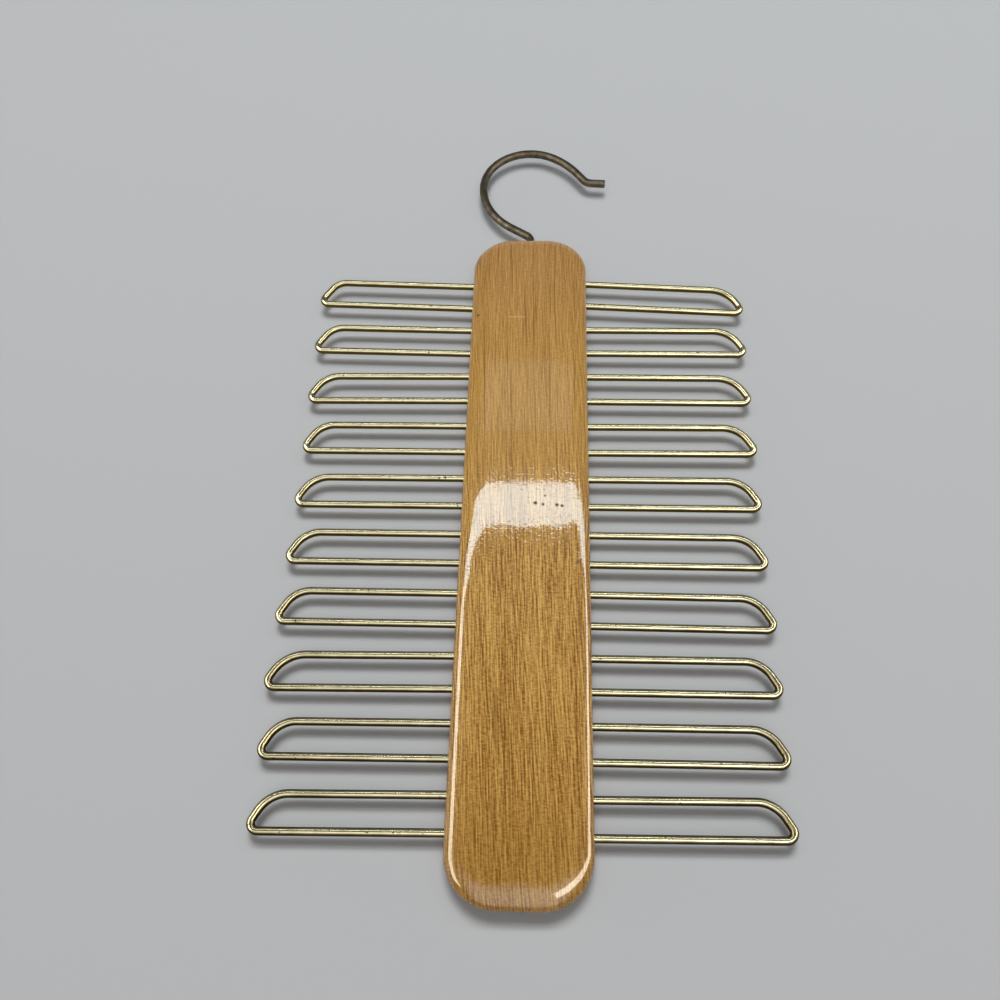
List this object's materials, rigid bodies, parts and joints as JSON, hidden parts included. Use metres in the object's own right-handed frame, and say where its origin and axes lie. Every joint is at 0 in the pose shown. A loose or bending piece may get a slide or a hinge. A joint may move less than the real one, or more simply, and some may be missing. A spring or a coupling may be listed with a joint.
{
  "type": "tie hanger",
  "caption": "Flat tie hanger: a round-cornered varnished board with rows of bent brass-plated wire loops along both long edges and a swivelling wire hook in one end.",
  "frame": {"origin": "centre of the board's back face, the face that lies on a table", "axes": "+X across the board to the right, +Y along the board towards the hook, +Z out of the front face"},
  "size_m": [0.2283, 0.4159, 0.012],
  "materials": {
    "varnished_beech": "gloss varnish",
    "brass_plated_wire": "worn plating",
    "bronzed_steel": "aged dark bronze plating",
    "plain_steel": "turned"
  },
  "bodies": {
    "board_body": {"board": "varnished_beech", "hook_bush": "plain_steel", "loop_left_01": "brass_plated_wire", "loop_left_02": "brass_plated_wire", "loop_left_03": "brass_plated_wire", "loop_left_04": "brass_plated_wire", "loop_left_05": "brass_plated_wire", "loop_left_06": "brass_plated_wire", "loop_left_07": "brass_plated_wire", "loop_left_08": "brass_plated_wire", "loop_left_09": "brass_plated_wire", "loop_left_10": "brass_plated_wire", "loop_right_01": "brass_plated_wire", "loop_right_02": "brass_plated_wire", "loop_right_03": "brass_plated_wire", "loop_right_04": "brass_plated_wire", "loop_right_05": "brass_plated_wire", "loop_right_06": "brass_plated_wire", "loop_right_07": "brass_plated_wire", "loop_right_08": "brass_plated_wire", "loop_right_09": "brass_plated_wire", "loop_right_10": "brass_plated_wire"},
    "hook_body": {"hook": "bronzed_steel"}
  },
  "joints": [
    {"name": "hook_swivel", "type": "hinge", "parent": "board_body", "child": "hook_body", "pos_m": [0, 0.1718, 0.006], "axis": [0, 1, 0], "continuous": true}
  ]
}
